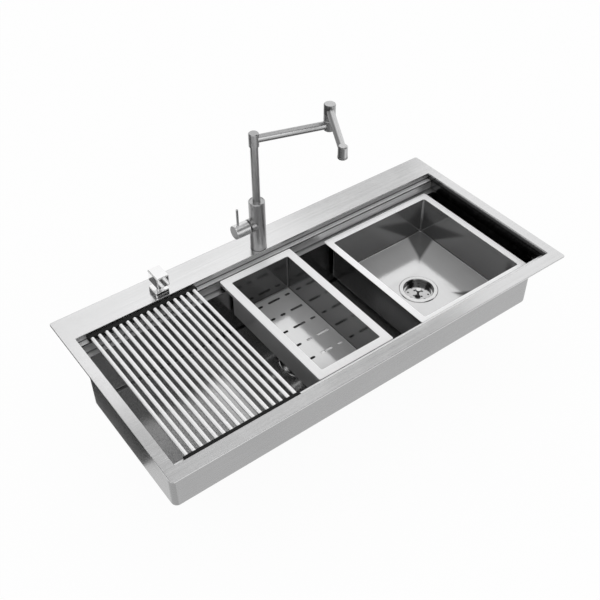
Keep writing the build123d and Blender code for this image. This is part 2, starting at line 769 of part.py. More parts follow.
def make_handle_stem():
    """Fork with a fixed cross pin over the spindle's tongue, pushed into the handle's socket."""
    radius = spindle_diameter / 2
    start = handle_pivot_reach - radius + fork_relief
    stem = Pos(0, 0, start) * Cylinder(radius, handle_cavity_reach + handle_stem_length - start, align=bottom_aligned)
    gap = tongue_thickness + 2 * slide_clearance
    slot = Pos(0, 0, start) * Box(2 * radius, gap, 2 * radius, align=bottom_aligned)
    pin = Cylinder(handle_pin_diameter / 2, gap + 2 * slide_clearance)
    return at_handle * (stem - slot + Pos(0, 0, handle_pivot_reach) * Rot(90, 0, 0) * pin)


def make_handle_hub():
    """Round cap over the bonnet with a socket for the stem and one for the lever."""
    start = boss_reach + handle_gap
    hub = Pos(0, 0, start) * Cylinder(boss_diameter / 2, handle_length, align=bottom_aligned)
    hub = chamfer(hub.edges().sort_by(Axis.Z)[-1], tap_body_chamfer / 2)
    cavity = Cylinder(boss_diameter / 2 - handle_wall, handle_cavity_reach - start, align=bottom_aligned)
    hub -= Pos(0, 0, start) * cavity
    hub -= Pos(0, 0, handle_cavity_reach) * Cylinder(spindle_diameter / 2, handle_stem_length, align=bottom_aligned)
    socket = rod(lever_diameter, boss_diameter / 2 - lever_socket_depth, boss_diameter)
    return at_handle * hub - Pos(tap_x - lever_reach, tap_y, handle_axis_z) * socket


def make_lever():
    low = boss_diameter / 2 - lever_socket_depth
    lever = rod(lever_diameter, low, boss_diameter / 2 + lever_length)
    lever = fillet(lever.edges().sort_by(Axis.Z)[-1], lever_diameter / 3)
    return Pos(tap_x - lever_reach, tap_y, handle_axis_z) * lever


def o_ring_heights():
    return [post_low + post_insertion * share for share in o_ring_places]


def make_post():
    """Upright tube of the spout, grooved for the O-rings."""
    post = ring(post_diameter, post_diameter - 2 * post_wall, post_low, collar_low + collar_socket_depth)
    for z in o_ring_heights():
        post -= ring(post_diameter, post_diameter - 2 * o_ring_depth, z, z + o_ring_thickness)
    return at_tap * post


def make_o_rings():
    inner = post_diameter - 2 * o_ring_depth
    rings = [at_tap * ring(post_diameter, inner, z, z + o_ring_thickness) for z in o_ring_heights()]
    return Compound(children=rings)


def make_post_bush():
    """Bearing in the body's top with a step that the post stands on."""
    top = tap_body_top - gland_height - gland_recess
    bush = ring(post_diameter + 2 * bush_wall, post_diameter - 2 * post_wall, post_low - bush_wall, top)
    return at_tap * (bush - rod(post_diameter + 2 * running_clearance, post_low - turn_gap, top))


def make_gland():
    """Screwed ring that closes the body's top round the post."""
    low = tap_body_top - gland_height - gland_recess
    return at_tap * ring(gland_diameter, post_diameter + 2 * running_clearance, low, low + gland_height)


def make_post_collar():
    """Elbow on the post with a side socket for the first arm."""
    collar = rod(collar_diameter, collar_low, collar_top)
    collar = chamfer(collar.edges().sort_by(Axis.Z)[-1], collar_chamfer)
    collar -= rod(post_diameter, collar_low, collar_low + collar_socket_depth)
    way = arm_one_diameter - 2 * arm_wall
    collar -= rod(way, collar_low, arm_one_z)
    socket = Cylinder(arm_one_diameter / 2, collar_diameter, align=bottom_aligned)
    start = collar_diameter / 2 - arm_engagement
    return at_tap * collar - lying(tap_x, tap_y, arm_one_z, arm_one_azimuth) * (
        Pos(0, 0, start) * socket + Cylinder(way / 2, start, align=bottom_aligned))


def make_arm(x, y, z, azimuth, diameter, start, end):
    length = end - start
    tube = Cylinder(diameter / 2, length, align=bottom_aligned)
    tube -= Cylinder(diameter / 2 - arm_wall, length, align=bottom_aligned)
    return lying(x, y, z, azimuth) * Pos(0, 0, start) * tube


def knuckle_levels():
    """Heights of the knuckle: bottom, split, top of its washer, underside of its cap."""
    low, split = arm_one_z - knuckle_below_arm_one, arm_one_z + knuckle_above_arm_one
    return low, split, split + knuckle_washer_thickness, arm_two_z + knuckle_above_arm_two


def make_knuckle_socket():
    """Lower half of the knuckle, on the first arm, with the seat of the spindle."""
    low, split, _, _ = knuckle_levels()
    socket = chamfer(rod(knuckle_diameter, low, split).edges().sort_by(Axis.Z)[0], collar_chamfer)
    socket -= rod(knuckle_spindle_diameter, split - knuckle_spindle_sink, split)
    bore = Cylinder(arm_one_diameter / 2, knuckle_diameter, align=bottom_aligned)
    start = knuckle_diameter / 2 - arm_engagement
    way = Cylinder(arm_one_diameter / 2 - arm_wall, start, align=bottom_aligned)
    back = lying(knuckle_x, knuckle_y, arm_one_z, arm_one_azimuth + 180)
    return at_knuckle * socket - back * (Pos(0, 0, start) * bore + way)


def make_knuckle_washer():
    _, split, washer_top, _ = knuckle_levels()
    return at_knuckle * ring(knuckle_diameter, knuckle_spindle_diameter + 2 * running_clearance, split, washer_top)


def make_knuckle_spindle():
    """Hollow pivot, headed at the top, on which the second arm turns."""
    _, split, _, top = knuckle_levels()
    head = top - knuckle_spindle_head
    flange = knuckle_spindle_diameter + 2 * knuckle_head_flange
    spindle = rod(knuckle_spindle_diameter, split - knuckle_spindle_sink, head)
    spindle += rod(flange, head, top - slide_clearance)
    spindle -= rod(knuckle_spindle_bore, split - knuckle_spindle_sink, arm_two_z)
    port = lying(0, 0, arm_two_z - knuckle_spindle_bore / 2, arm_two_azimuth) * Cylinder(
        knuckle_spindle_bore / 2, knuckle_spindle_diameter)
    return at_knuckle * (spindle - port)


def make_knuckle_head():
    """Upper half of the knuckle, on the second arm, running on the spindle."""
    _, _, washer_top, top = knuckle_levels()
    head = rod(knuckle_diameter, washer_top + turn_gap, top)
    head -= rod(knuckle_spindle_diameter + 2 * running_clearance, washer_top, top)
    seat = top - knuckle_spindle_head - turn_gap
    flange = knuckle_spindle_diameter + 2 * knuckle_head_flange
    head -= rod(flange + 2 * slide_clearance, seat, top)
    bore = Cylinder(arm_two_diameter / 2, knuckle_diameter, align=bottom_aligned)
    start = knuckle_diameter / 2 - arm_engagement
    way = Cylinder(knuckle_spindle_bore / 2, start, align=bottom_aligned)
    out = lying(knuckle_x, knuckle_y, arm_two_z, arm_two_azimuth)
    return at_knuckle * head - out * (Pos(0, 0, start) * bore + way)


def make_knuckle_cap():
    top = knuckle_levels()[3]
    cap = rod(knuckle_diameter, top, top + knuckle_cap_height)
    return at_knuckle * fillet(cap.edges().sort_by(Axis.Z)[-1], knuckle_cap_height / 2)


def make_nozzle():
    """Downward outlet at the end of the second arm."""
    nozzle = rod(nozzle_diameter, nozzle_low, nozzle_top)
    nozzle = chamfer(nozzle.edges().sort_by(Axis.Z)[-1], nozzle_chamfer)
    nozzle -= rod(nozzle_bore, nozzle_low, arm_two_z)
    bore = Cylinder(arm_two_diameter / 2, nozzle_diameter, align=bottom_aligned)
    start = nozzle_diameter / 2 - arm_engagement
    way = Cylinder(nozzle_bore / 2, start, align=bottom_aligned)
    back = lying(nozzle_x, nozzle_y, arm_two_z, arm_two_azimuth + 180)
    return at_nozzle * nozzle - back * (Pos(0, 0, start) * bore + way)


def make_aerator():
    shell = ring(nozzle_diameter, nozzle_diameter - 2 * aerator_wall, nozzle_low - aerator_height, nozzle_low)
    return at_nozzle * chamfer(shell.edges().sort_by(Axis.Z)[0], aerator_wall / 3)


def make_aerator_screen():
    low = nozzle_low - aerator_height / 2
    screen = rod(nozzle_diameter - 2 * aerator_wall, low, low + screen_thickness)
    hole = rod(screen_hole_diameter, low, low + screen_thickness)
    for place in PolarLocations(nozzle_bore / 3, screen_holes):
        screen -= place * hole
    return at_nozzle * (screen - hole)


def make_tap():
    start_one = collar_diameter / 2 - arm_engagement
    end_one = arm_one_length - knuckle_diameter / 2 + arm_engagement
    start_two = knuckle_diameter / 2 - arm_engagement
    end_two = arm_two_length - nozzle_diameter / 2 + arm_engagement
    hole = tap_shank_diameter + 2 * running_clearance
    return {
        "tap_base_ring": at_tap * ring(tap_base_diameter, hole, tap_deck_top, tap_body_low),
        "tap_body": make_tap_body(),
        "tap_shank": make_tap_shank(),
        "tap_cartridge": make_cartridge(),
        "tap_bonnet": make_bonnet(),
        "cartridge_spindle": make_spindle(),
        "handle_stem": make_handle_stem(),
        "handle_hub": make_handle_hub(),
        "handle_lever": make_lever(),
        "spout_gland": make_gland(),
        "spout_bush": make_post_bush(),
        "spout_o_rings": make_o_rings(),
        "spout_post": make_post(),
        "spout_collar": make_post_collar(),
        "spout_arm_one": make_arm(tap_x, tap_y, arm_one_z, arm_one_azimuth, arm_one_diameter, start_one, end_one),
        "knuckle_socket": make_knuckle_socket(),
        "knuckle_washer": make_knuckle_washer(),
        "knuckle_spindle": make_knuckle_spindle(),
        "knuckle_head": make_knuckle_head(),
        "knuckle_cap": make_knuckle_cap(),
        "spout_arm_two": make_arm(knuckle_x, knuckle_y, arm_two_z, arm_two_azimuth, arm_two_diameter,
                                  start_two, end_two),
        "spout_nozzle": make_nozzle(),
        "aerator_shell": make_aerator(),
        "aerator_screen": make_aerator_screen(),
    }


# Soap pump

at_soap = Pos(soap_x, soap_y, 0)
soap_collar_low = rim_top + soap_gasket_thickness
soap_collar_top = soap_collar_low + soap_collar_height
soap_head_low = soap_collar_top + soap_travel + soap_head_gap
soap_barrel_bore = soap_stem_diameter + 2 * running_clearance
soap_shank_low = rim_under - soap_shank_drop


def make_soap_collar():
    half = soap_collar_width / 2
    collar = rounded_block(-half, half, -half, half, soap_collar_low, soap_collar_top, soap_collar_round)
    collar = top_rounded(collar, soap_collar_round / 2)
    return at_soap * (collar - rod(soap_shank_diameter, soap_collar_low, soap_collar_top - soap_barrel_wall)
                      - rod(soap_stem_diameter + 2 * side_clearance, soap_collar_low, soap_collar_top))


def make_soap_shank():
    """Threaded pump barrel through the deck, closed over its spring and valves, open above for the stem."""
    top = soap_collar_top - soap_barrel_wall
    barrel = rod(soap_shank_diameter, soap_shank_low, top)
    depth = soap_stem_insertion + soap_travel + soap_head_gap
    return at_soap * (barrel - rod(soap_barrel_bore, top - depth, top))


def make_soap_stem():
    low = soap_head_low - soap_head_gap - soap_stem_insertion
    return at_soap * rod(soap_stem_diameter, low, soap_head_low + soap_head_height / 2)


def make_soap_head():
    """Square press head that reaches over the basin's edge, with a short outlet under its front."""
    half = soap_head_width / 2
    head = block(-half, half, -soap_head_front, soap_head_rear, soap_head_low, soap_head_low + soap_head_height)
    head = fillet(head.edges(), soap_head_round)
    spout_y = -soap_head_front + soap_spout_diameter
    head += Pos(0, spout_y, 0) * rod(soap_spout_diameter, soap_head_low - soap_spout_drop,
                                     soap_head_low + soap_head_round)
    head -= Pos(0, spout_y, 0) * rod(soap_spout_diameter / 2, soap_head_low - soap_spout_drop,
                                     soap_head_low + soap_head_height / 3)
    return at_soap * (head - rod(soap_stem_diameter, soap_head_low, soap_head_low + soap_head_height / 2))


def make_soap_nut():
    top = rim_under - soap_washer_thickness
    nut = hexagon(soap_nut_width, top - soap_nut_height, top)
    return at_soap * (nut - rod(soap_shank_diameter + 2 * running_clearance, top - soap_nut_height, top))


def make_soap_bottle():
    """Bottle screwed on the lower end of the shank."""
    r_in = soap_shank_diameter / 2 + running_clearance
    r_neck, r_body = soap_neck_diameter / 2, soap_bottle_diameter / 2
    w = soap_bottle_wall
    low = soap_shank_low - soap_bottle_height
    neck_low = soap_shank_low
    shoulder = neck_low - soap_bottle_shoulder
    bottle = turned((r_in, neck_low + soap_neck_height), (r_neck, neck_low + soap_neck_height), (r_neck, neck_low),
                    (r_body, shoulder), (r_body, low), (0, low), (0, low + w), (r_body - w, low + w),
                    (r_body - w, shoulder - w), (r_in, neck_low - w))
    return at_soap * bottle


def make_soap_pump():
    return {
        "soap_collar": make_soap_collar(),
        "soap_shank": make_soap_shank(),
        "soap_stem": make_soap_stem(),
        "soap_head": make_soap_head(),
        "soap_bottle": make_soap_bottle(),
    }


def make_deck_seals():
    """Gaskets on the deck and washers under it, for the tap and the soap pump."""
    tap_hole = tap_shank_diameter + 2 * running_clearance
    soap_hole = soap_shank_diameter + 2 * running_clearance
    half = soap_collar_width / 2
    square = rounded_block(-half, half, -half, half, rim_top, soap_collar_low, soap_collar_round)
    gaskets = Compound(children=[at_tap * ring(tap_base_diameter, tap_hole, rim_top, tap_deck_top),
                                 at_soap * (square - rod(soap_hole, rim_top, soap_collar_low))])
    washers = Compound(children=[
        at_tap * ring(tap_washer_diameter, tap_hole, rim_under - tap_washer_thickness, rim_under),
        at_soap * ring(soap_nut_width, soap_hole, rim_under - soap_washer_thickness, rim_under)])
    return {"deck_gaskets": gaskets, "deck_washers": washers,
            "deck_nuts": Compound(children=[make_tap_nut(), make_soap_nut()])}


def make_sink():
    """Every node by name."""
    main_floor = z_floor - basin_floor_fall
    tail_joint = main_floor - main_cup_depth - main_outlet_length
    nodes = {
        "rim_deck": make_rim_deck(),
        "rim_seal": make_rim_seal(),
        "front_ledge": make_ledge_strip(y_front, y_front_step, -1),
        "rear_ledge": make_ledge_strip(y_rear, y_rear_step, 1),
        "end_panels": make_end_panels(),
        "basin_tub": make_basin_tub(),
        "sound_pads": make_sound_pads(),
        "clip_channels": make_clip_channels(),
        "rim_clips": make_rim_clips(),
        "clip_clamps": make_clip_clamps(),
        "drain_tailpiece": make_tailpiece(tail_joint),
        "drain_slip_nut": make_slip_nut(tail_joint),
        "bowl_shell": make_bowl_shell(),
        "colander_rim": make_colander_rim(),
        "colander_tray": make_colander_tray(),
        "rack_bars": make_rack_bars(),
        "rack_rails": Compound(children=[make_rack_rail(front_rail_inner, -1), make_rack_rail(rear_rail_inner, 1)]),
    }
    nodes.update(drain_parts("main", main_drain_x, main_drain_y, main_floor, sheet, main_flange_diameter,
                             main_cup_diameter, main_cup_depth, main_outlet_diameter, main_outlet_length,
                             main_nut_width, main_nut_height))
    nodes.update(drain_parts("bowl", bowl_drain_x, bowl_drain_y, bowl_base + bowl_wall - bowl_floor_fall,
                             bowl_wall, bowl_flange_diameter, bowl_cup_diameter, bowl_cup_depth,
                             bowl_outlet_diameter, bowl_outlet_length, bowl_nut_width, bowl_nut_height))
    nodes.update(make_tap())
    nodes.update(make_soap_pump())
    nodes.update(make_deck_seals())
    return nodes


os.makedirs("parts", exist_ok=True)
for node, solid in make_sink().items():
    export_step(solid, f"parts/{node}.step")
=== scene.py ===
import json
import math

import bmesh
import bpy
from mathutils import Matrix, Vector


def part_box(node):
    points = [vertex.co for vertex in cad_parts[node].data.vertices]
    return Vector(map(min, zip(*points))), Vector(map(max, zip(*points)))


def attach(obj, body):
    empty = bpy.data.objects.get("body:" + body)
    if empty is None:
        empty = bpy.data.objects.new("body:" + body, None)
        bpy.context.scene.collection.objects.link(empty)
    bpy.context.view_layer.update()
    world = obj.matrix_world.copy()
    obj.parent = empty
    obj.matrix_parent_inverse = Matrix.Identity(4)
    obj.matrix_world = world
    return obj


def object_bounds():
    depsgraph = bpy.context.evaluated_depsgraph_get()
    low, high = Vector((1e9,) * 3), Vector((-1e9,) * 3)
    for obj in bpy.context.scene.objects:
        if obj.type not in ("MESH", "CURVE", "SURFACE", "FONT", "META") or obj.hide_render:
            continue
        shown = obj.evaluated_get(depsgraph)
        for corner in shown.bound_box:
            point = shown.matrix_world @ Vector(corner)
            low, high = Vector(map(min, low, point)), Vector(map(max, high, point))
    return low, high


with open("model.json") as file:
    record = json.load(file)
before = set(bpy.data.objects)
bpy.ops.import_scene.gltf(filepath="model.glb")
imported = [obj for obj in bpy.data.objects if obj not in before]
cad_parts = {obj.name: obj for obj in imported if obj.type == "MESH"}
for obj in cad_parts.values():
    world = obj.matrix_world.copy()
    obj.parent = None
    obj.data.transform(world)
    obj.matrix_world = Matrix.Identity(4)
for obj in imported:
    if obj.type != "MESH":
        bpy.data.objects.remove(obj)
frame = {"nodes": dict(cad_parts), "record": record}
cad_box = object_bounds()

MM = 0.001

# Rim, ledges and tub, in metres
SHEET = 1.5 * MM
RIM_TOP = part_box("rim_deck")[1][2]
UPPER_LEDGE = RIM_TOP - 15 * MM
TUB_LOW, TUB_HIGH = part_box("basin_tub")
LOWER_LEDGE = TUB_HIGH[2]
TUB_BASE = TUB_LOW[2]
TUB_CORNER = 12 * MM
END_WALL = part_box("front_ledge")[1][0]
FRONT_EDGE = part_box("front_ledge")[0][1] + SHEET
FRONT_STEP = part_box("front_ledge")[1][1]
FRONT_WALL = FRONT_STEP + 16 * MM
REAR_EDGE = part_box("rear_ledge")[1][1] - SHEET
REAR_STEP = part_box("rear_ledge")[0][1]
REAR_WALL = REAR_STEP - 14 * MM

# Bowl and colander
BOWL_LOW, BOWL_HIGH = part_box("bowl_shell")
BOWL_LEFT = BOWL_LOW[0]
BOWL_RIM = BOWL_HIGH[2]
BOWL_FLOOR_INSET = 26 * MM
BOWL_CUP_LOW, BOWL_CUP_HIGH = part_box("bowl_drain_cup")
BOWL_CUP_EDGE = BOWL_CUP_HIGH[2] - 3.6 * MM
BOWL_FLAT = 51.2 * MM
COLANDER_LOW, COLANDER_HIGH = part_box("colander_rim")
COLANDER_LEFT = COLANDER_LOW[0]
COLANDER_REAR = COLANDER_HIGH[1]
COLANDER_TOP = COLANDER_HIGH[2]
INSERT_FLOORS = -80 * MM

# Tap
HUB_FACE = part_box("handle_hub")[1][0]
HUB_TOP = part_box("handle_hub")[1][2]
KNUCKLE_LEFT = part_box("knuckle_socket")[0][0]
KNUCKLE_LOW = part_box("knuckle_socket")[0][2]
ARM_TWO_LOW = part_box("spout_arm_two")[0][2]
NOZZLE_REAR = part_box("spout_nozzle")[1][1]

# Middle of a noise, and the height of the marks in a surface
NOISE_MIDDLE = 0.5
MARK_HEIGHT = 0.2 * MM


class Socket:
    """A shader socket that can stand in sums and products."""

    def __init__(self, shader, socket):
        self.shader = shader
        self.socket = socket

    def __add__(self, other):
        return self.shader.math("ADD", self, other)

    def __radd__(self, other):
        return self.shader.math("ADD", other, self)

    def __sub__(self, other):
        return self.shader.math("SUBTRACT", self, other)

    def __rsub__(self, other):
        return self.shader.math("SUBTRACT", other, self)

    def __mul__(self, other):
        return self.shader.math("MULTIPLY", self, other)

    def __rmul__(self, other):
        return self.shader.math("MULTIPLY", other, self)

    def __pow__(self, other):
        return self.shader.math("POWER", self, other)


class Shader:
    """The nodes of a material or of the world; node() adds any one and returns one of its outputs."""

    def __init__(self, owner):
        owner.use_nodes = True
        self.owner = owner
        self.tree = owner.node_tree
        self.tree.nodes.clear()

    def node(self, kind, settings=None, inputs=None, output=0):
        made = self.tree.nodes.new("ShaderNode" + kind)
        for key, value in (settings or {}).items():
            if key == "stops":
                while len(made.color_ramp.elements) < len(value):
                    made.color_ramp.elements.new(0.5)
                for element, (place, tone) in zip(made.color_ramp.elements, value):
                    element.position = place
                    element.color = grey(tone)
            else:
                setattr(made, key, value)
        for key, value in (inputs or {}).items():
            if isinstance(value, Socket):
                self.tree.links.new(value.socket, made.inputs[key])
            else:
                made.inputs[key].default_value = value
        return Socket(self, made.outputs[output]) if made.outputs else None

    def math(self, operation, first, second=0.0):
        return self.node("Math", {"operation": operation}, {0: first, 1: second})

    def step(self, value, low, high):
        """A smooth step from 0 at one value to 1 at another."""
        return self.node("MapRange", {"interpolation_type": "SMOOTHSTEP"},
                         {"Value": value, "From Min": low, "From Max": high})

    def ramp(self, factor, stops):
        return self.node("ValToRGB", {"stops": stops}, {"Fac": factor})

    def blend(self, factor, first, second):
        return self.node("Mix", {"data_type": "RGBA"}, {0: factor, 6: first, 7: second}, output=2)

    def background_rays(self):
        """1 for rays that show the background: from the camera, mirrored or through glass."""
        kinds = ("Is Camera Ray", "Is Glossy Ray", "Is Transmission Ray")
        camera_ray, glossy_ray, glass_ray = [self.node("LightPath", output=kind) for kind in kinds]
        return camera_ray + glossy_ray + glass_ray


class Finish(Shader):
    """One material in the making."""

    def __init__(self, name):
        super().__init__(bpy.data.materials.new(name))

    def noise(self, stretch, detail=2.0, roughness=0.5):
        """A noise from 0 to 1; stretch is one number or one for each axis."""
        scale = stretch if isinstance(stretch, tuple) else (stretch, stretch, stretch)
        place = self.node("Mapping", None, {"Vector": self.node("TexCoord", output="Object"), "Scale": scale})
        return self.node("TexNoise", None,
                         {"Vector": place, "Scale": 1.0, "Detail": detail, "Roughness": roughness})

    def parts(self, of):
        """The three parts of a texture coordinate, as numbers."""
        whole = self.node("TexCoord", output=of)
        return [self.node("SeparateXYZ", None, {"Vector": whole}, output=axis) for axis in range(3)]

    def axes(self):
        return self.parts("Object")

    def facing_up(self, low=0.6, high=0.9):
        """1 on faces that look up, 0 on walls."""
        return self.step(self.parts("Normal")[2], low, high)

    def facing_left(self, low, high):
        """1 on faces that look to the left, 0 on the others."""
        return self.step(self.parts("Normal")[0], -low, -high)

    def bends(self):
        """1 on bent edges, 0 on faces that look along one axis."""
        along_x, along_y, along_z = [self.math("ABSOLUTE", part) for part in self.parts("Normal")]
        longest = self.math("MAXIMUM", self.math("MAXIMUM", along_x, along_y), along_z)
        return self.step(longest, 0.985, 0.95)

    def surface(self, colour, roughness, metallic, marks, strength, height=MARK_HEIGHT, **constants):
        """Closes the material; marks are raised a little, and constants go to sockets of their own."""
        raised = self.node("Bump", None, {"Height": marks, "Strength": strength, "Distance": height})
        inputs = {"Base Color": colour, "Roughness": roughness, "Metallic": metallic, "Normal": raised}
        for key, value in constants.items():
            inputs[key.replace("_", " ")] = value
        shader = self.node("BsdfPrincipled", None, inputs)
        self.node("OutputMaterial", None, {"Surface": shader})
        return self.owner


def grey(tone):
    return (tone, tone, tone, 1.0)


def brushed_layers(steel, stretch, mottle=6.0):
    """Fine drawn lines, slow cloudy changes and a few wiped prints, each from 0 to 1."""
    lines = steel.noise(stretch, detail=2.0, roughness=0.55)
    clouds = steel.noise(mottle, detail=3.0)
    prints = steel.ramp(steel.noise(28.0, detail=4.0, roughness=0.65), ((0.52, 0.0), (0.7, 1.0)))
    return lines, clouds, prints


def brushed_surface(steel, tone, roughness, layers, grain, bump, metallic=1.0):
    """Joins the layers of a brushed finish; tone, roughness and metallic may vary."""
    line_contrast = 1.6
    cloud_contrast = 0.12
    cloud_roughness = 0.05
    print_roughness = 0.03
    cool = 1.004
    lines, clouds, prints = layers
    lines_off = lines - NOISE_MIDDLE
    clouds_off = clouds - NOISE_MIDDLE
    level = tone * (0.96 + lines_off * (line_contrast * grain) + clouds_off * cloud_contrast)
    colour = steel.node("CombineColor", None, {0: level, 1: level, 2: level * cool})
    rough = roughness + lines_off * grain + clouds_off * cloud_roughness + prints * print_roughness
    return steel.surface(colour, rough, metallic, lines, bump)


def beyond_tub(steel, from_middle, y):
    """1 outside the tub's inner wall, with its round corners."""
    half_depth = (REAR_WALL - FRONT_WALL) / 2
    over_x = steel.math("MAXIMUM", from_middle - (END_WALL - TUB_CORNER), 0.0)
    over_y = steel.math("ABSOLUTE", y - (REAR_WALL + FRONT_WALL) / 2) - (half_depth - TUB_CORNER)
    over_y = steel.math("MAXIMUM", over_y, 0.0)
    reach = (over_x * over_x + over_y * over_y) ** 0.5
    return steel.step(reach, TUB_CORNER + 0.6 * MM, TUB_CORNER + 0.9 * MM)


def basin_steel(name):
    """Brushed rim and outside and a satin inside, with painted light and shade: inside and outside darker
    than the rim, ledges painted pale, and painted dark lines in their corners, on bends and at the ledge
    ends.
    """
    steel = Finish(name)
    x, y, z = steel.axes()
    from_middle = steel.math("ABSOLUTE", x)
    up = steel.facing_up()

    # Where each finish and each painted light or shade lies
    inside = steel.step(z, RIM_TOP - 2 * MM, RIM_TOP - 6 * MM)
    inside = inside * steel.step(from_middle, END_WALL + 0.6 * MM, END_WALL + 0.4 * MM)
    inside = inside * steel.step(y, FRONT_EDGE - 0.3 * MM, FRONT_EDGE - 0.1 * MM)
    inside = inside * steel.step(y, REAR_EDGE + 0.3 * MM, REAR_EDGE + 0.1 * MM)
    below = steel.step(z, LOWER_LEDGE + 1 * MM, LOWER_LEDGE - 1 * MM)
    inside = inside * (1.0 - below * beyond_tub(steel, from_middle, y)) * steel.facing_up(-0.6, -0.3)
    outside = steel.step(z, RIM_TOP - 2 * MM, RIM_TOP - 4 * MM) * (1.0 - inside)
    ledge = inside * (1.0 - below)
    end = steel.step(from_middle, END_WALL - 1.2 * MM, END_WALL - 0.4 * MM) * ledge
    riser = steel.step(z, UPPER_LEDGE - 1 * MM, UPPER_LEDGE - 3 * MM)
    corner = steel.step(z, UPPER_LEDGE + 4 * MM, UPPER_LEDGE + 1 * MM) * (1.0 - riser) * (1.0 - up)
    corner = corner + steel.step(z, LOWER_LEDGE + 5 * MM, LOWER_LEDGE + 2 * MM) * (1.0 - up)
    front = steel.step(y, FRONT_WALL + 1.5 * MM, FRONT_WALL - 8.5 * MM)
    floor = inside * up * steel.step(z, TUB_BASE + 24 * MM, TUB_BASE + 14 * MM)

    # What each one looks like; the tones paint light and shade
    rim_tone = 0.74
    # Painted light: ledge tops lighter as if lit from above, and below the upper ledge lighter still as a
    # painted reflection of the bowl rim.
    painted_ledge_light = up * 0.38 + riser * 0.18 - 0.02
    # Painted shade: the inside and the outside below the rim are darker than the rim.
    tone = rim_tone - inside * 0.25 - outside * 0.32 + ledge * painted_ledge_light
    # Painted shade: dark lines at the foot of each drop, in the corner where it meets the ledge.
    painted_corner_shade = ledge * corner * 0.75
    # Painted shade on bent edges: strongest inside away from the front, weaker at the rim and inside at the
    # front, weakest outside.
    painted_bend_shade = 0.45 - outside * 0.25 + inside * (0.4 - front * 0.5)
    # Painted shade at the ledges' ends beside the end panels.
    painted_end_shade = end * 0.8
    tone = tone * (1.0 - painted_corner_shade) * (1.0 - steel.bends() * painted_bend_shade) * (1.0 - painted_end_shade)
    rim_roughness = 0.22
    roughness = rim_roughness - inside * 0.02 + outside * 0.06 + ledge * 0.28 - end * 0.24
    metallic = 1.0 - floor * 0.25
    along_sink = brushed_layers(steel, (5.0, 900.0, 900.0))
    return brushed_surface(steel, tone, roughness, along_sink, grain=0.14, bump=0.05, metallic=metallic)


def crease_shade_mask(steel, x, y):
    """Where painted shade lies on the bowl floor: 1 along the creases from its corners to its drain, broadest
    in the far right corner as a painted reflection.
    """
    shares = []
    far_right = 1.0
    for axis, along in ((0, x), (1, y)):
        middle = (BOWL_CUP_LOW[axis] + BOWL_CUP_HIGH[axis]) / 2
        before = 1.0 / (middle - BOWL_LOW[axis] - BOWL_FLOOR_INSET - BOWL_FLAT)
        after = 1.0 / (BOWL_HIGH[axis] - BOWL_FLOOR_INSET - BOWL_FLAT - middle)
        side = steel.step(along, middle - 1 * MM, middle + 1 * MM)
        past_flat = steel.math("ABSOLUTE", along - middle) - BOWL_FLAT
        shares.append(past_flat * (before + side * (after - before)))
        far_right = side * far_right
    outward = (shares[0] + shares[1]) * 0.5
    off_line = steel.math("ABSOLUTE", shares[0] - shares[1])
    spread = 0.45 + far_right * 0.35
    width = (outward - far_right * 0.25) * spread
    return steel.step(off_line - width, 0.05, -0.1) * steel.step(outward, 0.0, 0.15)


def insert_steel(name):
    """Satin walls and floors for the bowl and the colander, with painted light and shade: flat rims and
    floors painted bright, dark bends, a darker colander rear wall, a lighter colander left wall and dark
    creases on the bowl floor.
    """
    steel = Finish(name)
    x, y, z = steel.axes()

    # Where each finish and each painted light or shade lies
    bowl_rim = steel.step(z, BOWL_RIM - 1.6 * MM, BOWL_RIM - 1.2 * MM)
    bowl_rim = bowl_rim * steel.step(x, BOWL_LEFT - 2 * MM, BOWL_LEFT - 1 * MM)
    colander_rim = steel.step(z, COLANDER_TOP - 1.8 * MM, COLANDER_TOP - 1.2 * MM)
    rim = bowl_rim + colander_rim
    floor = steel.facing_up() * steel.step(z, INSERT_FLOORS, INSERT_FLOORS - 10 * MM)
    left_wall = steel.step(x, COLANDER_LEFT + 30 * MM, COLANDER_LEFT + 25 * MM) * (1.0 - rim)
    left_wall = left_wall * steel.facing_left(0.5, 0.8)
    rear_wall = steel.step(y, COLANDER_REAR - 25 * MM, COLANDER_REAR - 23 * MM) * (1.0 - rim)
    rear_wall = rear_wall * steel.step(x, BOWL_LEFT, BOWL_LEFT - 10 * MM)
    crease_shade = floor * steel.step(x, BOWL_LEFT, BOWL_LEFT + 10 * MM) * crease_shade_mask(steel, x, y)

    # What each one looks like; the tones paint light and shade
    wall_tone = 0.29
    # Painted light: rims and floors, which face up, are lighter than the walls; the colander's rim a little
    # less than the bowl's.
    tone = wall_tone + rim * 0.71 - colander_rim * 0.12 + floor * 0.42
    # Painted shade on bent edges, but not on the rims.
    painted_bend_shade = steel.bends() * (1.0 - rim) * 0.3
    # Painted shade on the colander's rear wall and painted light on its outer left wall.
    tone = tone * (1.0 - painted_bend_shade) * (1.0 - rear_wall * 0.5) + left_wall * 0.2
    # Painted shade along the bowl floor's creases.
    tone = tone * (1.0 - crease_shade * 0.72)
    wall_roughness = 0.13
    roughness = wall_roughness + rim * 0.28 - floor * 0.01
    metallic = 0.93 - floor * 0.48 - rim * 0.58 - left_wall * 0.4
    across_sink = brushed_layers(steel, (900.0, 6.0, 900.0))
    return brushed_surface(steel, tone, roughness, across_sink, grain=0.08, bump=0.03, metallic=metallic)


def bar_steel(name):
    """Bright drawn tube, with painted shade underneath: darker on faces that look down."""
    steel = Finish(name)
    # Painted shade: faces that look down are darker.
    shaded_under_tone = 0.2
    tone = shaded_under_tone + steel.facing_up(-0.3, 0.75) * 0.8
    along_bars = brushed_layers(steel, (900.0, 8.0, 900.0))
    return brushed_surface(steel, tone, 0.38, along_bars, grain=0.08, bump=0.05, metallic=0.45)


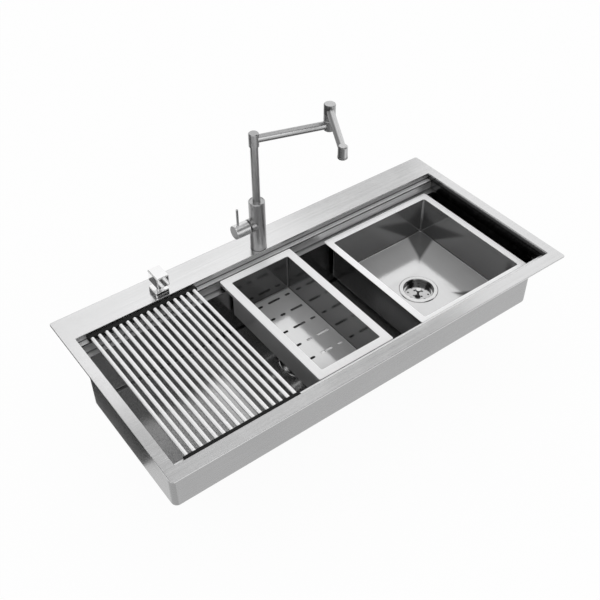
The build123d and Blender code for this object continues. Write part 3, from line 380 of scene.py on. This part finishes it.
def tap_steel(name):
    """Brushed tap, with painted light and shade: a lighter handle hub with a darker end face, a darker
    knuckle, darker faces that look down, and a second arm painted lighter overall and darker on its left
    side.
    """
    steel = Finish(name)
    x, y, z = steel.axes()

    # Where each finish and each painted light or shade lies
    hub = steel.step(x, HUB_FACE + 0.2 * MM, HUB_FACE - 0.2 * MM) * steel.step(z, HUB_TOP + 1 * MM, HUB_TOP)
    hub_end = hub * steel.facing_left(0.8, 0.95)
    knuckle = steel.step(z, KNUCKLE_LOW - 1 * MM, KNUCKLE_LOW)
    knuckle = knuckle * steel.step(x, KNUCKLE_LEFT - 1 * MM, KNUCKLE_LEFT) * (1.0 - steel.facing_up())
    second_arm = steel.math("MAXIMUM", steel.step(z, ARM_TWO_LOW - 1 * MM, ARM_TWO_LOW),
                            steel.step(y, NOZZLE_REAR + 1 * MM, NOZZLE_REAR))
    arm_left = second_arm * steel.facing_left(0.05, 0.5)

    # What each one looks like; the tones paint light and shade
    body_tone = 0.46
    # Painted light and shade: the hub lighter with a dark end face, the knuckle darker.
    tone = body_tone + hub * 0.3 - hub_end * 0.46 - knuckle * 0.22
    # Painted shade on faces that look down; the second arm painted lighter, and darker on its left side.
    painted_underside_shade = 0.45 + steel.facing_up(-0.45, 0.05) * 0.55
    tone = (tone * painted_underside_shade + second_arm * 0.18) * (1.0 - arm_left * 0.72)
    up_tap = brushed_layers(steel, (8.0, 8.0, 700.0), mottle=12.0)
    return brushed_surface(steel, tone, 0.33, up_tap, grain=0.05, bump=0.008)


def polished_surface(plate, tone, roughness):
    """Mirror plating with faint clouds and wiping marks; tone may vary."""
    clouds = plate.noise(22.0, detail=3.0)
    wipes = plate.noise((40.0, 260.0, 260.0), detail=3.0)
    level = (0.94 + clouds * 0.06) * tone
    colour = plate.node("CombineColor", None, {0: level, 1: level, 2: level})
    rough = roughness + (wipes - NOISE_MIDDLE) * 0.05 + (clouds - NOISE_MIDDLE) * 0.03
    return plate.surface(colour, rough, 1.0, wipes, strength=0.02, height=MARK_HEIGHT / 2)


def drain_steel(name):
    """Polished strainer parts, with painted shade down in the cups and on their walls."""
    plate = Finish(name)
    _, _, z = plate.axes()
    in_bowl_cup = plate.step(z, BOWL_CUP_EDGE, BOWL_CUP_EDGE - 3 * MM)
    in_bowl_cup = in_bowl_cup * plate.step(z, TUB_BASE + 6 * MM, TUB_BASE + 8 * MM)
    in_main_cup = plate.step(z, TUB_BASE, TUB_BASE - 3 * MM)
    # Painted shade: darker down in the cups, and walls darker than faces that look up.
    shaded_wall_share = 0.3
    tone = (0.62 - (in_bowl_cup + in_main_cup) * 0.14) * (shaded_wall_share + plate.facing_up() * (1.0 - shaded_wall_share))
    return polished_surface(plate, tone, 0.18)


def pump_chrome(name):
    """Bright chrome plating of the soap pump."""
    return polished_surface(Finish(name), 0.93, 0.1)


def moulded(name, dark, light, roughness, strength=0.15, **constants):
    """Moulded plastic or rubber with a fine grain and slightly worn high spots."""
    mould = Finish(name)
    grain = mould.noise(900.0, detail=3.0)
    clouds = mould.noise(30.0, detail=3.0)
    colour = mould.blend(clouds * 0.7 + grain * 0.3, dark, light)
    rough = roughness + (grain - NOISE_MIDDLE) * 0.12 + (clouds - NOISE_MIDDLE) * 0.1
    return mould.surface(colour, rough, 0.0, grain, strength, **constants)


def turned_metal(name, dark, light, roughness):
    """Turned or plated metal with tool rings along Z."""
    metal = Finish(name)
    rings = metal.noise((60.0, 60.0, 2600.0), detail=2.0)
    clouds = metal.noise(40.0, detail=3.0)
    colour = metal.blend(clouds, dark, light)
    rough = roughness + (rings - NOISE_MIDDLE) * 0.2
    return metal.surface(colour, rough, 1.0, rings, strength=0.1)


finishes = {
    "sink_steel": basin_steel("sink_steel"),
    "insert_steel": insert_steel("insert_steel"),
    "bar_steel": bar_steel("bar_steel"),
    "tap_steel": tap_steel("tap_steel"),
    "polished_steel": drain_steel("polished_steel"),
    "pump_chrome": pump_chrome("pump_chrome"),
    "rail_black": moulded("rail_black", grey(0.006), grey(0.014), 0.55, Specular_IOR_Level=0.15),
    "black_rubber": moulded("black_rubber", grey(0.012), grey(0.025), 0.7),
    "zinc_steel": turned_metal("zinc_steel", grey(0.42), grey(0.56), 0.34),
    "brass": turned_metal("brass", (0.52, 0.36, 0.13, 1.0), (0.66, 0.48, 0.2, 1.0), 0.3),
    "white_plastic": moulded("white_plastic", grey(0.62), grey(0.74), 0.4, strength=0.06),
}

for part in frame["record"]["subparts"]:
    node = frame["nodes"][part["node"]]
    node.data.materials.clear()
    node.data.materials.append(finishes[part["material_slot"]])


def add_object(name, data):
    made = bpy.data.objects.new(name, data)
    bpy.context.scene.collection.objects.link(made)
    return made


def finished_piece(name, mesh, slot, body):
    """A piece of the object: material, body and slot in one go."""
    mesh.materials.clear()
    mesh.materials.append(finishes[slot])
    made = add_object(name, mesh)
    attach(made, body)
    return made


def mesh_from_bm(name, built):
    """A plain mesh from a bmesh, with its faces turned outwards."""
    bmesh.ops.recalc_face_normals(built, faces=built.faces)
    mesh = bpy.data.meshes.new(name)
    built.to_mesh(mesh)
    built.free()
    return mesh


def node_middle(node):
    """Middle, half width and height limits of a node's box."""
    low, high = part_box(node)
    return (low[0] + high[0]) / 2, (low[1] + high[1]) / 2, (high[0] - low[0]) / 2, low[2], high[2]


def circle_point(radius, angle, level=0.0):
    return Vector((radius * math.cos(angle), radius * math.sin(angle), level))


class PieceTree:
    """Geometry nodes that make one kind of piece; every size is a named input."""

    def __init__(self, name, inputs):
        self.group = bpy.data.node_groups.new(name, "GeometryNodeTree")
        self.plugs = {}
        for label, kind in (*inputs.items(), ("Finish", "Material")):
            plug = self.group.interface.new_socket(label, in_out="INPUT", socket_type="NodeSocket" + kind)
            self.plugs[label] = plug.identifier
        self.group.interface.new_socket("Geometry", in_out="OUTPUT", socket_type="NodeSocketGeometry")
        self.entry = self.group.nodes.new("NodeGroupInput")

    def given(self, label):
        return self.entry.outputs[label]

    def node(self, kind, inputs, output=0, settings=None):
        made = self.group.nodes.new(kind)
        for key, value in (settings or {}).items():
            setattr(made, key, value)
        for key, value in inputs.items():
            if isinstance(value, bpy.types.NodeSocket):
                self.group.links.new(value, made.inputs[key])
            else:
                made.inputs[key].default_value = value
        return made.outputs[output]

    def close(self, geometry):
        """Ends the tree in real geometry with the piece's finish."""
        real = self.node("GeometryNodeRealizeInstances", {"Geometry": geometry})
        painted = self.node("GeometryNodeSetMaterial", {"Geometry": real, "Material": self.given("Finish")})
        leave = self.group.nodes.new("NodeGroupOutput")
        self.group.links.new(painted, leave.inputs["Geometry"])

    def piece(self, name, seed, slot, body, sizes, smooth=True):
        """The finished piece as a plain mesh; its four-sided faces may be smooth."""
        maker = add_object(name + "_maker", seed)
        modifier = maker.modifiers.new("tree", "NODES")
        modifier.node_group = self.group
        modifier[self.plugs["Finish"]] = finishes[slot]
        for label, value in sizes.items():
            modifier[self.plugs[label]] = value
        shaped = bpy.data.meshes.new_from_object(maker.evaluated_get(bpy.context.evaluated_depsgraph_get()))
        bpy.data.objects.remove(maker)
        built = bmesh.new()
        built.from_mesh(shaped)
        bpy.data.meshes.remove(shaped)
        for face in built.faces:
            face.smooth = smooth and len(face.verts) == 4
        return finished_piece(name, mesh_from_bm(name, built), slot, body)


def ridge_tree():
    """Upright round ridges set on a circle."""
    ridge_sides = 10
    tree = PieceTree("ridge_ring", {"Count": "Int", "Circle": "Float", "Ridge": "Float", "Height": "Float",
                                    "Place": "Vector"})
    circle = tree.node("GeometryNodeMeshCircle",
                       {"Vertices": tree.given("Count"), "Radius": tree.given("Circle")})
    rod = tree.node("GeometryNodeMeshCylinder",
                    {"Vertices": ridge_sides, "Radius": tree.given("Ridge"), "Depth": tree.given("Height")})
    spread = tree.node("GeometryNodeInstanceOnPoints", {"Points": circle, "Instance": rod})
    tree.close(tree.node("GeometryNodeTransform", {"Geometry": spread, "Translation": tree.given("Place")}))
    return tree


def weld_tree():
    """Ground weld beads along straight runs, slightly rippled."""
    bead_sides = 8
    thinnest, thickest = 0.74, 1.0
    tree = PieceTree("weld_runs", {"Runs": "Geometry", "Radius": "Float", "Ripple": "Float"})
    runs = tree.node("GeometryNodeMeshToCurve", {"Mesh": tree.given("Runs")})
    runs = tree.node("GeometryNodeResampleCurve", {"Curve": runs, "Length": tree.given("Ripple")},
                     settings={"mode": "LENGTH"})
    swell = tree.node("FunctionNodeRandomValue", {2: thinnest, 3: thickest, "Seed": 4}, output=1,
                      settings={"data_type": "FLOAT"})
    section = tree.node("GeometryNodeCurvePrimitiveCircle",
                        {"Resolution": bead_sides, "Radius": tree.given("Radius")})
    tree.close(tree.node("GeometryNodeCurveToMesh",
                         {"Curve": runs, "Profile Curve": section, "Scale": swell, "Fill Caps": True}))
    return tree


def head_tree():
    """One screw head repeated at each given place."""
    tree = PieceTree("heads_at_places", {"Places": "Geometry", "Head": "Object"})
    head = tree.node("GeometryNodeObjectInfo", {"Object": tree.given("Head")}, output="Geometry")
    tree.close(tree.node("GeometryNodeInstanceOnPoints", {"Points": tree.given("Places"), "Instance": head}))
    return tree


RIDGES = ridge_tree()
WELDS = weld_tree()
HEADS = head_tree()


def ridge_ring(name, place, circle, ridge, height, count, slot, body):
    """Grip ridges round a node."""
    sizes = {"Count": count, "Circle": circle, "Ridge": ridge, "Height": height, "Place": place}
    return RIDGES.piece(name, bpy.data.meshes.new(name + "_seed"), slot, body, sizes)


def weld_beads(name, runs, radius, ripple, slot, body):
    """Fine weld beads, one along each run from point to point."""
    seed = bpy.data.meshes.new(name + "_seed")
    points = [point for run in runs for point in run]
    seed.from_pydata(points, [(i, i + 1) for i in range(0, len(points), 2)], [])
    return WELDS.piece(name, seed, slot, body, {"Radius": radius, "Ripple": ripple})


def cross_heads(name, places, radius, gap, depth, slot, body):
    """Screw heads with a cross recess: four bevelled quarter pads on each flat head."""
    arc_steps = 9
    bevel = 0.1
    built = bmesh.new()
    corner = Vector((gap, gap, 0))
    inset = math.asin(gap / radius)
    outline = [corner]
    for i in range(arc_steps + 1):
        outline.append(circle_point(radius, inset + (math.pi / 2 - 2 * inset) * i / arc_steps))
    lowered = Vector((0, 0, depth))
    for quarter in range(4):
        spin = Matrix.Rotation(quarter * math.pi / 2, 3, "Z")
        top = [built.verts.new(spin @ point) for point in outline]
        low = [built.verts.new(spin @ point.lerp(corner, bevel) - lowered) for point in outline]
        built.faces.new(top)
        built.faces.new(list(reversed(low)))
        for i in range(len(top)):
            j = (i + 1) % len(top)
            built.faces.new((top[i], low[i], low[j], top[j]))
    head = add_object(name + "_head", mesh_from_bm(name + "_head", built))
    seed = bpy.data.meshes.new(name + "_seed")
    seed.from_pydata(places, [], [])
    made = HEADS.piece(name, seed, slot, body, {"Head": head}, smooth=False)
    bpy.data.objects.remove(head)
    return made


def thread(name, node, low, high, pitch, ridge, slot, body):
    """A screw thread: one sharp ridge wound up a shank, fading in and out over a turn."""
    turn_steps = 40
    base_sink = 0.15 * MM
    half_base = 0.45 * pitch
    x, y, radius, _, _ = node_middle(node)
    count = round((high - low) / pitch * turn_steps)
    built = bmesh.new()
    rows = []
    for i in range(count + 1):
        angle = 2 * math.pi * i / turn_steps
        level = low + pitch * i / turn_steps
        fade = min(1.0, i / turn_steps, (count - i) / turn_steps)
        section = ((-base_sink, -half_base), (ridge * fade, 0.0), (-base_sink, half_base))
        rows.append([built.verts.new(Vector((x, y, 0)) + circle_point(radius + reach, angle, level + rise))
                     for reach, rise in section])
    for first, second in zip(rows, rows[1:]):
        for a in range(3):
            b = (a + 1) % 3
            built.faces.new((first[a], second[a], second[b], first[b]))
    built.faces.new(rows[0])
    built.faces.new(list(reversed(rows[-1])))
    return finished_piece(name, mesh_from_bm(name, built), slot, body)


def set_screw(name, place, outward, slot, body):
    """A small set screw with a hexagon socket, its head a little proud of the surface."""
    radius = 1.6 * MM
    stand = 0.3 * MM
    count = 24
    angles = [2 * math.pi * i / count for i in range(count)]
    sixth = math.pi / 3
    turn = Vector((0, 0, 1)).rotation_difference(Vector(outward)).to_matrix()
    loops = []
    for share, level in ((1.0, -stand), (1.0, stand * 0.6), (0.9, stand)):
        loops.append([circle_point(radius * share, angle, level) for angle in angles])
    socket_reach = radius * 0.5 * math.cos(sixth / 2)
    for level in (stand, -stand * 0.5):
        loops.append([circle_point(socket_reach / math.cos(angle % sixth - sixth / 2), angle, level)
                      for angle in angles])
    built = bmesh.new()
    rings = [[built.verts.new(Vector(place) + turn @ point) for point in loop] for loop in loops]
    for first, second in zip(rings, rings[1:]):
        for i in range(count):
            j = (i + 1) % count
            built.faces.new((first[i], first[j], second[j], second[i]))
    built.faces.new(list(reversed(rings[0])))
    built.faces.new(rings[-1])
    return finished_piece(name, mesh_from_bm(name, built), slot, body)


# Grip ridges
x, y, half, low, high = node_middle("aerator_shell")
ridge_ring("aerator_knurl", (x, y, (low + high) / 2 + 0.4 * MM), circle=half, ridge=0.35 * MM,
           height=(high - low) * 0.66, count=48, slot="tap_steel", body="spout_end")
x, y, half, low, high = node_middle("drain_slip_nut")
ridge_ring("slip_nut_ribs", (x, y, (low + high) / 2), circle=half, ridge=1.4 * MM,
           height=(high - low) * 0.86, count=20, slot="white_plastic", body="sink")
x, y, _, _, _ = node_middle("soap_shank")
bottle_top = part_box("soap_bottle")[1][2]
ridge_ring("bottle_neck_ribs", (x, y, bottle_top - 7 * MM), circle=15.5 * MM, ridge=0.6 * MM,
           height=9 * MM, count=36, slot="white_plastic", body="sink")
for prefix in ("main", "bowl"):
    x, y, half, low, high = node_middle(prefix + "_strainer_knob")
    ridge_ring(prefix + "_knob_grip", (x, y, low + (high - low) * 0.56), circle=half - 0.4 * MM,
               ridge=0.5 * MM, height=(high - low) * 0.3, count=24, slot="polished_steel",
               body=prefix + "_strainer")

# Threads below the deck
tap_shank_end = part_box("tap_shank")[0][2]
deck_nuts_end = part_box("deck_nuts")[0][2]
thread("tap_thread", "tap_shank", low=tap_shank_end + 2.5 * MM, high=deck_nuts_end - 2.5 * MM, pitch=2 * MM,
       ridge=0.5 * MM, slot="brass", body="sink")
thread("soap_thread", "soap_shank", low=bottle_top + 1.5 * MM, high=bottle_top + 9.5 * MM, pitch=2 * MM,
       ridge=0.4 * MM, slot="white_plastic", body="sink")

# Welds where the ledge strips meet the tub and the end panels
seam_end = END_WALL - SHEET
seams = [((-seam_end, y, LOWER_LEDGE), (seam_end, y, LOWER_LEDGE)) for y in (FRONT_STEP, REAR_STEP)]
end_seam = END_WALL - 0.1 * MM
for x in (-end_seam, end_seam):
    for step, edge in ((FRONT_STEP, FRONT_EDGE), (REAR_STEP, REAR_EDGE)):
        seams.append(((x, step, LOWER_LEDGE), (x, step, UPPER_LEDGE)))
        seams.append(((x, step, UPPER_LEDGE), (x, edge, UPPER_LEDGE)))
weld_beads("seam_welds", seams, radius=0.5 * MM, ripple=1.6 * MM, slot="sink_steel", body="sink")

# Screws
clips_low, clips_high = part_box("rim_clips")
clamp_half = 4.4 * MM
clamp_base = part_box("clip_clamps")[0][2]
clamp_places = [(x, y, clamp_base) for x in (clips_low[0] + clamp_half, 0.0, clips_high[0] - clamp_half)
                for y in (clips_low[1] + clamp_half, clips_high[1] - clamp_half)]
cross_heads("clamp_screw_heads", clamp_places, radius=3.3 * MM, gap=0.5 * MM, depth=0.8 * MM,
            slot="zinc_steel", body="sink")
x, y, half, low, _ = node_middle("spout_collar")
set_screw("collar_set_screw", (x - half, y, low + 6 * MM), (-1, 0, 0), slot="tap_steel", body="spout")
x, y, _, low, _ = node_middle("handle_hub")
set_screw("handle_set_screw", (x + 4 * MM, y, low), (0, 0, -1), slot="tap_steel", body="handle")


def backdrop_finish(name, lit_tone, shown_tone=1.0, shown_share=1.0, clear_below=False):
    """A stage surface that looks even to the camera and in reflections, and still takes shadows."""
    cloth = Finish(name)
    lit = cloth.node("BsdfDiffuse", None, {"Color": grey(lit_tone)})
    shown = cloth.node("Emission", None, {"Color": grey(shown_tone), "Strength": 1.0})
    both = cloth.node("MixShader", None, {0: cloth.background_rays() * shown_share, 1: lit, 2: shown})
    if clear_below:
        behind = cloth.node("NewGeometry", output="Backfacing")
        both = cloth.node("MixShader", None, {0: behind, 1: both, 2: cloth.node("BsdfTransparent")})
    cloth.node("OutputMaterial", None, {"Surface": both})
    return cloth.owner


def flat_card(name, corners, material):
    """A flat card of the set."""
    card = bpy.data.meshes.new(name)
    card.from_pydata(corners, [], [tuple(range(len(corners)))])
    card.materials.append(material)
    made = add_object(name, card)
    return made


def reflected_card(name, corners, material):
    """A card beside the set that shows only in reflections."""
    card = flat_card(name, corners, material)
    card.visible_camera = False
    card.visible_diffuse = False
    card.visible_shadow = False
    return card


def level_corners(left, right, front, rear, level):
    """Corners of a level card."""
    return [(left, front, level), (right, front, level), (right, rear, level), (left, rear, level)]


def facing_corners(width, length, place, target):
    """Corners of a card that faces a point."""
    turn = (Vector(target) - Vector(place)).to_track_quat("Z", "Y").to_matrix()
    return [Vector(place) + turn @ Vector((x * width / 2, y * length / 2, 0))
            for x, y in ((-1, -1), (1, -1), (1, 1), (-1, 1))]


# White floor
floor_level = cad_box[0][2] - 12 * MM
floor_reach = 6.0
floor_white = backdrop_finish("floor_white", lit_tone=0.8, shown_share=0.95, clear_below=True)
flat_card("studio_floor", level_corners(-floor_reach, floor_reach, -floor_reach, floor_reach, floor_level),
          floor_white)

# Dark and grey cards for the steel to reflect
card_black = moulded("card_black", grey(0.012), grey(0.02), 0.9)
card_grey = backdrop_finish("card_grey", lit_tone=0.4, shown_tone=0.42)
card_pale = backdrop_finish("card_pale", lit_tone=0.6, shown_tone=0.62)
card_dark = backdrop_finish("card_dark", lit_tone=0.12, shown_tone=0.12)
basin_middle = (0, 0, -0.05)
bowl_rear = (0.3, 0.22, 0)
high_near = (0.35, 0.88, 1.99)
high_far = (0.45, 1.2, 1.73)
reflected_card("card_left", level_corners(left=-1.73, right=-0.53, front=0.035, rear=1.45,
                                          level=floor_level + 2 * MM), card_black)
reflected_card("card_back_left", facing_corners(width=1.9, length=1.5, place=(-1.15, 1.35, 1.6),
                                                target=basin_middle), card_dark)
reflected_card("card_front_right", facing_corners(width=1.9, length=1.6, place=(1.05, -1.35, 1.55),
                                                  target=basin_middle), card_black)
reflected_card("card_high_left", [(-0.35, 0.95, 2.1), high_near, high_far, (-0.2, 1.5, 1.78)], card_grey)
reflected_card("card_high_right", [high_near, (1.5, 0.72, 1.76), (1.7, 0.99, 1.48), high_far], card_grey)
reflected_card("card_high_front", level_corners(left=-0.1, right=0.95, front=0.62, rear=1.08, level=1.7),
               card_pale)
reflected_card("card_far_right", facing_corners(width=0.7, length=0.5, place=(1.6, 1.75, 1.4),
                                                target=bowl_rear), card_pale)

# Camera at the photograph's angle
camera_place = Vector((-0.8877, -1.1301, 1.2994 + RIM_TOP))
camera_target = Vector((-0.054, -0.0067, RIM_TOP))
camera_roll = math.radians(-0.27)
camera_data = bpy.data.cameras.new("camera")
camera_data.lens = 52.44
camera_data.sensor_width = 36.0
camera_data.clip_end = 50.0
camera = add_object("camera", camera_data)
aim = (camera_target - camera_place).to_track_quat("-Z", "Y").to_matrix().to_4x4()
camera.matrix_world = Matrix.Translation(camera_place) @ aim @ Matrix.Rotation(camera_roll, 4, "Z")
bpy.context.scene.camera = camera

# Even light from all round, shown as white
sky = Shader(bpy.data.worlds.new("studio"))
sky_lit = sky.node("Background", None, {"Color": grey(0.95)})
sky_shown = sky.node("Background", None, {"Color": grey(1.0)})
sky_both = sky.node("MixShader", None, {0: sky.background_rays(), 1: sky_lit, 2: sky_shown})
sky.node("OutputWorld", None, {"Surface": sky_both})
bpy.context.scene.world = sky.owner


def soft_box(name, place, target, width, length, power):
    """A rectangular lamp that faces a point."""
    lamp = bpy.data.lights.new(name, "AREA")
    lamp.shape = "RECTANGLE"
    lamp.size = width
    lamp.size_y = length
    lamp.energy = power
    made = add_object(name, lamp)
    turn = (Vector(target) - Vector(place)).to_track_quat("-Z", "Y").to_matrix().to_4x4()
    made.matrix_world = Matrix.Translation(place) @ turn
    return made


soft_box("key_light", (1.45, 2.2, 2.6), (1.45, 2.2, 0), width=2.9, length=1.0, power=4.0)
soft_box("front_light", (-0.2, -2.4, 1.2), (0, 0, 0), width=1.6, length=1.0, power=8.0)

bpy.context.scene.view_settings.view_transform = "Standard"
